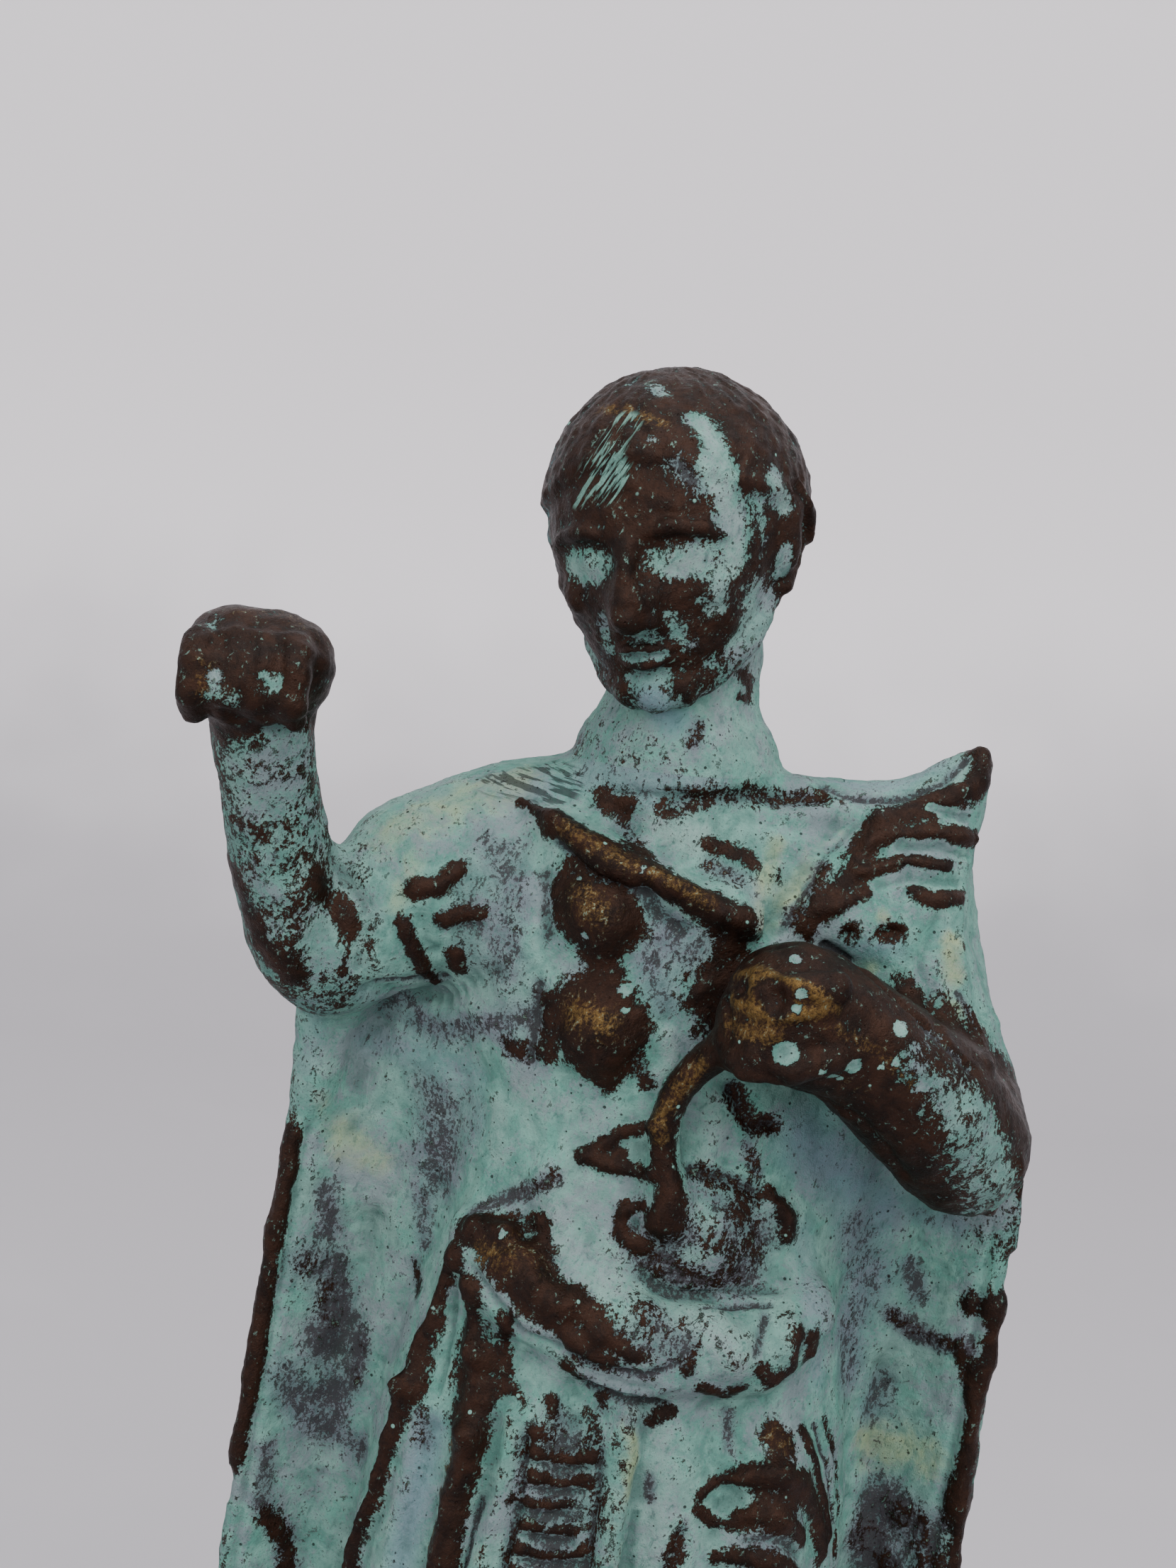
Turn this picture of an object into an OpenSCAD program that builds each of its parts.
// Small cast bronze figure of a draped man with a raised fist, on a stone plinth.
// The figure faces -Y and stands along +Z. The origin is the centre of the plinth's underside.

/* [Plinth] */
// Width of the stone plinth
plinth_w = 70; // [66:1:90]
// Depth of the stone plinth
plinth_d = 46; // [44:1:70]
// Height of the stone plinth
plinth_h = 14; // [12:1:24]
// Width of the bevel round the plinth's top edge
plinth_bevel = 1.2; // [0.5:0.1:2]
// Thickness of the baize pad under the plinth
pad_t = 1; // [0.6:0.1:2]

/* [Cloak] */
// Thickness of the cloak behind the figure
cloak_t = 3.2; // [2.4:0.1:4]
// Height of the cloak's lower hem above the plinth
cloak_hem = 9; // [6:1:14]

/* [Skirt] */
// Height of the skirt's lower hem above the plinth
skirt_hem = 12; // [9:1:16]
// How far the skirt's pleats stand out
pleat_h = 2; // [0.5:0.1:2.6]

/* [Head] */
// Lean of the head towards the raised fist, in degrees
head_lean = 11; // [0:1:14]
// Turn of the head towards the raised fist, in degrees
head_turn = 22; // [0:1:30]

/* [Fixings] */
// Diameter of the threaded studs that hold the feet down
stud_d = 4; // [3:0.5:5]
// Diameter of the dowel pins inside the castings
dowel_d = 3; // [2:0.5:3.5]
// Radial clearance between a pin and its socket
socket_gap = 0.05; // [0.02:0.01:0.1]

/* [Hidden] */

foot_z = pad_t + plinth_h;          // soles stand here
waist_z = 86;                       // flat joint between skirt and torso
neck_z = 124.5;                     // flat joint between torso and neck
hem_z = foot_z + skirt_hem;
shin_top = hem_z + 8;               // the shins reach this far up into the skirt
elbow = [-27.6, -3.5, 108];         // joint of the raised forearm
foot_x = 9;                         // each foot's distance from the middle
stud_y = 1;                         // the studs stand under the ankles
dowel_r = dowel_d / 2;
stud_r = stud_d / 2;
nut_r = stud_r * 2;                 // across the corners
nut_h = stud_d * 0.7;
washer_r = stud_r * 2.1;
washer_t = 0.8;
pocket_r = washer_r + 0.6;
pocket_h = nut_h + washer_t + 1.4;
ring_n = 32;                        // points round a lofted ring
smooth = 24;

bronze = "#3d2a1c";
verdigris = "#7fb5a6";
marble = "#26272a";
steel = "#a9adb0";
felt = "#28503a";

// Skin -----------------------------------------------------------------

// Closed solid through rings of equal length, each end closed onto its own centre.
module skin(rings) {
    n = len(rings[0]);
    m = len(rings);
    points = concat([for (ring = rings) each ring],
                    [middle(rings[0]), middle(rings[m - 1])]);
    walls = [for (i = [0 : m - 2], j = [0 : n - 1])
        let (a = i * n + j, b = i * n + (j + 1) % n)
        each [[a, a + n, b + n], [a, b + n, b]]];
    low = [for (j = [0 : n - 1]) [m * n, j, (j + 1) % n]];
    high = [for (j = [0 : n - 1]) [m * n + 1, (m - 1) * n + (j + 1) % n, (m - 1) * n + j]];
    polyhedron(points, concat(walls, low, high));
}

function middle(ring) = [for (k = [0 : 2]) sum([for (p = ring) p[k]]) / len(ring)];
function sum(v, i = 0) = i < len(v) ? v[i] + sum(v, i + 1) : 0;

// Smooth value between rows of a table, by a cubic through the four nearest rows.
function cubic(a, b, c, d, t) =
    b + 0.5 * t * (c - a + t * (2 * a - 5 * b + 4 * c - d + t * (3 * (b - c) + d - a)));
function row(rows, i) = rows[max(0, min(len(rows) - 1, i))];
function between(rows, steps) = concat(
    [for (i = [0 : len(rows) - 2], s = [0 : steps - 1])
        cubic(row(rows, i - 1), rows[i], rows[i + 1], row(rows, i + 2), s / steps)],
    [rows[len(rows) - 1]]);

// Level oval ring: [height, centre x, centre y, half width, depth in front, depth behind].
function oval(r, n = ring_n) = [for (j = [0 : n - 1])
    let (a = 360 * j / n, depth = sin(a) < 0 ? r[4] : r[5])
    [r[1] + r[3] * cos(a), r[2] + depth * sin(a), r[0]]];

// Chain of round-ended links through [x, y, z, radius] points.
module links(points) {
    for (i = [0 : len(points) - 2]) hull() {
        ball(points[i]);
        ball(points[i + 1]);
    }
}

module ball(p) translate([p[0], p[1], p[2]]) sphere(r = p[3], $fn = smooth);

// Carves a casting as one mesh.
module cast() resize([0, 0, 0]) children();

// Upright round pin or socket, grown by the clearance when it is a socket.
module pin(at, r, h, gap = 0) translate([at[0], at[1], at[2] - gap])
    cylinder(r = r + gap, h = h + 2 * gap, $fn = 48);

// Round pin or socket along Y.
module cross_pin(at, r, h, gap = 0) translate([at[0], at[1] - gap, at[2]])
    rotate([-90, 0, 0]) cylinder(r = r + gap, h = h + 2 * gap, $fn = 48);

// Body -----------------------------------------------------------------

torso_rows = [
    [waist_z, 0.5, 0, 16, 11, 8.5],
    [92, 0.5, 0, 15.5, 11, 8],
    [98, 0, 0, 15, 10, 8],
    [104, -1, 0, 16, 10, 8],
    [110, -2, 0, 18, 10.5, 8.5],
    [115, -2, 0, 19, 10, 8.5],
    [119, -1.8, 0.5, 18, 8.4, 7.8],
    [122, -1.6, 0.5, 15, 7, 7],
    [neck_z, -0.2, 0.5, 7.6, 6.2, 6.2]
];

module torso_form() {
    skin([for (r = between(torso_rows, 2)) oval(r)]);
    links([[-12.5, 0.4, 115.6, 7.8], [-19.3, -1, 113.2, 7.2], [-26, -2.5, 107.8, 5.8]]);
    ball([-5.6, -6.6, 112.6, 4.6]);                  // breast
    ball([-4.6, -6.4, 103.8, 4.5]);                  // stomach
}

module torso() color(verdigris) difference() {
    cast() difference() {
        torso_form();
        elbow_side();
        translate([-60, -60, neck_z]) cube([120, 120, 40]);
    }
    pin(neck_at, dowel_r, neck_pin_h, socket_gap);
    for (at = waist_at) pin(at, dowel_r, waist_pin_h, socket_gap);
    arm_pin(socket_gap);
    forearm_pin(socket_gap);
    for (at = rivet_at) rivet(at, socket_gap);
}

// Everything on the forearm's side of the elbow joint.
elbow_tilt = [0, -76, 0];
module elbow_side() translate(elbow) rotate(elbow_tilt) translate([-20, -30, 0])
    cube([60, 60, 60]);

// Raised arm ------------------------------------------------------------

arm_points = [
    [-25.6, -2.4, 107.8, 5.8],
    [-27.4, -4.3, 108.6, 5.1],
    [-30, -7, 114.5, 4.1],
    [-31.4, -9.5, 121.5, 3.8],
    [-32, -11.5, 126, 4]
];

module raised_form() {
    links(arm_points);
    hull() {
        ball([-34.4, -12.5, 130.8, 3.6]);
        ball([-30, -12.5, 130.2, 3.6]);
        ball([-32.6, -15, 129.2, 3.6]);
        ball([-32.2, -10.5, 127.4, 4]);
    }
}

module raised_forearm() color(bronze) difference() {
    cast() intersection() {
        raised_form();
        elbow_side();
    }
    arm_pin(socket_gap);
}

elbow_pin_h = 7.5;
module arm_pin(gap = 0) translate(elbow) rotate(elbow_tilt)
    translate([0, 0, -elbow_pin_h / 2 - gap])
    cylinder(r = dowel_r + gap, h = elbow_pin_h + 2 * gap, $fn = 48);

module elbow_dowel() color(steel) arm_pin();

// Head ------------------------------------------------------------------

head_at = [-3.2, -2.6, 141.8];
neck_at = [-0.2, 0.5, neck_z - 5];
neck_pin_h = 11;

// Face, skull and ears about the head's own centre, looking along -Y.
module head_form() {
    hull() {
        translate([0, 1.6, 2]) scale([0.88, 1, 0.92]) sphere(r = 11, $fn = 40);
        translate([0, -3.6, -1.5]) scale([0.82, 0.6, 1]) sphere(r = 9.4, $fn = 32);
        translate([0, -5.4, -9.2]) scale([1.2, 0.9, 0.85]) sphere(r = 3.3, $fn = smooth);
    }
    hull() {
        ball([0, -8.4, 2.2, 1.3]);
        ball([0, -10.9, -3, 1.5]);
        ball([-1, -9.4, -3.4, 1.3]);
        ball([1, -9.4, -3.4, 1.3]);
    }
    for (side = [-1, 1]) hull() {
        ball([side * 9.3, 0.8, 1.2, 1.5]);
        ball([side * 8.9, 0.2, -2.6, 1.1]);
    }
}

module head() color(bronze) difference() {
    cast() difference() {
        union() {
            translate(head_at) rotate([0, -head_lean, 0]) rotate([6, 0, -head_turn]) head_form();
            links([[-1.8, -0.8, 136, 6.4], [-0.6, 0, 129, 5.6], [-0.2, 0.4, 124.5, 6],
                   [-0.2, 0.5, 121, 7]]);
        }
        translate([-60, -60, neck_z - 40]) cube([120, 120, 40]);
    }
    pin(neck_at, dowel_r, neck_pin_h, socket_gap);
}

module neck_dowel() color(steel) pin(neck_at, dowel_r, neck_pin_h);

// Skirt -----------------------------------------------------------------

waist_pin_h = 10;
waist_at = [[-8, 0, waist_z - 5], [8, 0, waist_z - 5]];

skirt_rows = [
    [hem_z, -0.5, 0, 20, 11.5, 9],
    [38, -0.5, 0, 20.5, 12, 9],
    [50, -0.5, 0, 20.3, 12, 9],
    [62, -0.5, 0, 19.5, 11.6, 9],
    [74, -0.3, 0, 18.2, 11.4, 8.8],
    [waist_z, 0.5, 0, 16, 11, 8.5]
];

// Each pleat's place across the skirt at the hem, in the middle and at the waist, and its half width.
pleats = [[-17.5, -16.6, -13.6, 1.5], [-12, -11.6, -10, 1.9], [-6, -7.2, -5.6, 1.7],
          [0, -0.8, -0.6, 1.6], [6.5, 5, 3.5, 1.8]];
function pleat_x(p, z) = lookup(z, [[hem_z, p[0]], [62, p[1]], [waist_z, p[2]]]);
function pleat_rise(x, z) = pleat_h * sum([for (p = pleats)
    exp(-pow((x - pleat_x(p, z)) / p[3], 2))]) * lookup(z, [[76, 1], [waist_z, 0]]);

// The advanced knee swells the skirt's front on one side.
function knee_rise(x, z) = 3.2 * exp(-pow((x - 12.5) / 4.5, 2) - pow((z - 62) / 13, 2));

// The front half of each ring is finer than its back, and carries the pleats and the knee.
function skirt_front(r) = [for (p = oval(r, 88)) if (p[1] < -0.01)
    [p[0], p[1] - pleat_rise(p[0], p[2]) - knee_rise(p[0], p[2]), p[2]]];
function skirt_back(r) = [for (p = oval(r, 28)) if (p[1] > -0.01) p];

module skirt_form() skin([for (r = between(skirt_rows, 3))
    concat(skirt_back(r), skirt_front(r))]);

module skirt() color(verdigris) difference() {
    cast() difference() {
        skirt_form();
        shins(1);
        shins(-1);
    }
    for (at = waist_at) pin(at, dowel_r, waist_pin_h, socket_gap);
    for (side = [-1, 1]) foot_stud(side, socket_gap);
}

module waist_dowels() color(steel) for (at = waist_at) pin(at, dowel_r, waist_pin_h);

// Feet ------------------------------------------------------------------

toe_out = 9;                        // turn of each foot from straight ahead, in degrees

module shins(side) translate([side * foot_x, stud_y, 0])
    cylinder(r1 = 4.6, r2 = 5.2, h = shin_top, $fn = 32);

module foot_form(side) {
    translate([side * foot_x, stud_y, foot_z]) rotate([0, 0, side * toe_out]) {
        hull() {
            translate([0, 2.5, 1.6]) sphere(r = 4, $fn = smooth);
            translate([0, -4, 2.2]) sphere(r = 4.4, $fn = smooth);
            translate([0, 0, 8]) sphere(r = 3.9, $fn = smooth);
        }
        hull() {
            translate([0, -4, 2]) sphere(r = 4.2, $fn = smooth);
            translate([side * 1.4, -12, 1]) sphere(r = 3, $fn = smooth);
            translate([-side * 2, -12.4, 1.2]) sphere(r = 2.8, $fn = smooth);
        }
        for (toe = [0 : 4]) hull() {
            toe_x = -side * 3.2 + side * toe * 1.75;
            ball([toe_x, -12.5, 1.2, 1.35 - toe * 0.08]);
            ball([toe_x, -16.4 + toe * toe * 0.16, 1, 1.25 - toe * 0.12]);
        }
        // sandal sole
        linear_extrude(1.4) hull() {
            translate([0, 2.6]) circle(r = 4.6, $fn = smooth);
            translate([-side * 1, -13]) circle(r = 4.8, $fn = smooth);
        }
    }
}

module foot(side) color(bronze) difference() {
    cast() difference() {
        union() {
            foot_form(side);
            shins(side);
        }
        translate([-60, -60, foot_z - 40]) cube([120, 120, 40]);
    }
    foot_stud(side, socket_gap);
}

module right_foot() foot(-1);
module left_foot() foot(1);

// Plinth and fixings ----------------------------------------------------

stud_z = pad_t + 1.6;
stud_len = shin_top + 8 - stud_z;

module foot_stud(side, gap = 0) pin([side * foot_x, stud_y, stud_z], stud_r, stud_len, gap);

module plinth() color(marble) difference() {
    hull() {
        translate([-plinth_w / 2, -plinth_d / 2, pad_t])
            cube([plinth_w, plinth_d, plinth_h - plinth_bevel]);
        translate([-plinth_w / 2 + plinth_bevel, -plinth_d / 2 + plinth_bevel, pad_t])
            cube([plinth_w - 2 * plinth_bevel, plinth_d - 2 * plinth_bevel, plinth_h]);
    }
    for (side = [-1, 1]) {
        foot_stud(side, 0.3);
        translate([side * foot_x, stud_y, pad_t - 1]) cylinder(r = pocket_r, h = pocket_h + 1, $fn = 48);
    }
}

module baize_pad() color(felt) translate([-plinth_w / 2 + 1.5, -plinth_d / 2 + 1.5, 0])
    cube([plinth_w - 3, plinth_d - 3, pad_t]);

module foot_studs() color(steel) for (side = [-1, 1]) foot_stud(side);

module stud_washers() color(steel) for (side = [-1, 1])
    translate([side * foot_x, stud_y, pad_t + pocket_h - washer_t]) difference() {
        cylinder(r = washer_r, h = washer_t, $fn = 48);
        translate([0, 0, -1]) cylinder(r = stud_r + 0.2, h = 3, $fn = 48);
    }

module stud_nuts() color(steel) for (side = [-1, 1])
    translate([side * foot_x, stud_y, pad_t + pocket_h - washer_t - nut_h]) difference() {
        cylinder(r = nut_r, h = nut_h, $fn = 6);
        translate([0, 0, -1]) cylinder(r = stud_r + socket_gap, h = nut_h + 2, $fn = 48);
    }

// Cloak -----------------------------------------------------------------

cloak_z = foot_z + cloak_hem;
// Height, left edge, right edge, depth of the middle behind, depth of the edges.
cloak_rows = [
    [cloak_z, -30.6, 27.2, 8.2, 1],
    [45, -30.2, 27.4, 8.2, 0],
    [62, -29.5, 27.8, 8, -1],
    [78, -28.7, 28.3, 7.6, -1.5],
    [92, -27.6, 28.8, 7.2, -1.5],
    [100, -27, 28.2, 7, -1],
    [107, -25, 25.2, 7, 1],
    [113, -21, 22.8, 7, 2],
    [118.5, -16, 22.4, 6.4, 2.5],
    [122, -9, 21.5, 5.4, 3]
];
cloak_n = 20;                       // steps across the cloak

function cloak_point(r, s, t) = let (
        half = (r[2] - r[1]) / 2,
        curl = pow(abs(s), 2.6),
        thick = t * (1 - 0.2 * curl))
    [(r[1] + r[2]) / 2 + half * s, r[3] - (r[3] - r[4]) * curl + thick, r[0]];
function cloak_edge(r, side) = cloak_point(r, side, cloak_t / 2) + [side * cloak_t / 2, 0, 0];
function across(k) = -1 + 2 * k / cloak_n;
function cloak_ring(r) = concat(
    [for (k = [0 : cloak_n]) cloak_point(r, across(k), 0)],
    [cloak_edge(r, 1)],
    [for (k = [cloak_n : -1 : 0]) cloak_point(r, across(k), cloak_t)],
    [cloak_edge(r, -1)]);

module cloak_form() skin([for (r = between(cloak_rows, 2)) cloak_ring(r)]);

module cloak() color(verdigris) difference() {
    cast() difference() {
        cloak_form();
        torso_form();
        skirt_form();
        elbow_side();
        raised_form();
    }
    for (at = rivet_at) rivet(at, socket_gap);
}

// Rivets through the cloak into the torso's back.
rivet_at = [[-7, 3, 96], [7, 3, 96], [-7, 3, 112], [7, 3, 112]];
rivet_h = 7.7;
module rivet(at, gap = 0) cross_pin(at, 1.2, rivet_h, gap);
module cloak_rivets() color(bronze) for (at = rivet_at) rivet(at);

// Drapery in front --------------------------------------------------------

module drape_form() {
    hull() {
        ball([9, -1.5, 121, 3.6]);
        ball([16, -1.5, 121.2, 3.8]);
        ball([16, 3, 119, 4]);
        ball([10, -5, 115, 3.4]);
    }
    hull() {
        ball([16, -1.5, 121.2, 3.8]);
        ball([19.2, -1.5, 122.4, 3.6]);
        ball([18, -4.5, 114, 4.2]);
        ball([10, -5, 115, 3.4]);
    }
    hull() {
        ball([19.2, -1.5, 122.4, 3.6]);
        ball([20.5, -2, 125.7, 1.8]);
        ball([22.2, -2, 127.3, 1.4]);
        ball([19.8, -1, 118, 2.7]);
        ball([18, 3, 118, 3.3]);
    }
    hull() {
        ball([18, -4.5, 114, 4.2]);
        ball([18.8, 1.6, 112, 3.7]);
        ball([19.8, -1, 118, 2.7]);
        ball([18, 3, 118, 3.3]);
    }
    hull() {
        ball([18, -4.5, 114, 4.2]);
        ball([18.8, 1.6, 112, 3.7]);
        ball([19.6, -5, 106, 5.2]);
        ball([23.2, -4, 100, 5.5]);
    }
}

module shoulder_drape() color(verdigris) cast() difference() {
    drape_form();
    torso_form();
    cloak_form();
    forearm_form();
    translate([0, 0.4, neck_z - 2.5]) cylinder(r = 7.2, h = 10, $fn = 32);
}

module strap_form() links([[-10.6, -7.2, 120, 1.2], [-6, -9, 118.2, 1.6], [-1, -9.8, 116.4, 1.8],
                           [4.6, -9.4, 114.4, 1.6]]);

module chest_strap() color(bronze) cast() difference() {
    strap_form();
    torso_form();
    drape_form();
}

module roll_form() links([[-11.8, -6.6, 87, 3.2], [-9, -9.4, 84.6, 3.6], [-3, -11, 82, 3.6],
                          [4, -11.4, 81.4, 3.6], [9.5, -10.4, 81.8, 3.5], [13, -7.6, 84.2, 3]]);

module hip_roll() color(bronze) cast() difference() {
    roll_form();
    torso_form();
    skirt_form();
    cloak_form();
}

// Left arm ----------------------------------------------------------------

module forearm_form() {
    links([[23.4, -7.5, 98.5, 5.6], [20, -11, 102.6, 5.6], [14, -13.5, 107, 5],
           [9, -14.5, 108.9, 5.4], [6.5, -14.4, 108.2, 3.3]]);
    for (finger = [0 : 3]) links([
        [10 - finger * 1.1, -18.4 + finger * 0.3, 111 - finger * 1.6, 1.5],
        [7.2 - finger * 0.7, -17 + finger * 0.3, 109.6 - finger * 1.5, 1.4]]);
}

module left_forearm() color(bronze) difference() {
    cast() difference() {
        forearm_form();
        torso_form();
        cloak_form();
    }
    forearm_pin(socket_gap);
}

module forearm_pin(gap = 0) cross_pin([12, -15, 107], dowel_r, 10, gap);
module forearm_dowel() color(steel) forearm_pin();

module fold_form() links([[3.8, -13.2, 105, 1.7], [1.5, -12.4, 102, 1.5], [0.6, -12, 99.4, 1.4],
                          [1, -12, 96, 1.4], [1.7, -12, 93.6, 1.4], [1.3, -12, 91.4, 1.4]]);

module gripped_fold() color(bronze) cast() difference() {
    fold_form();
    torso_form();
    forearm_form();
    skirt_form();
    roll_form();
}

// Parts -------------------------------------------------------------------

plinth();
baize_pad();
foot_studs();
stud_washers();
stud_nuts();
right_foot();
left_foot();
skirt();
hip_roll();
waist_dowels();
torso();
cloak();
cloak_rivets();
shoulder_drape();
chest_strap();
left_forearm();
gripped_fold();
forearm_dowel();
raised_forearm();
elbow_dowel();
head();
neck_dowel();
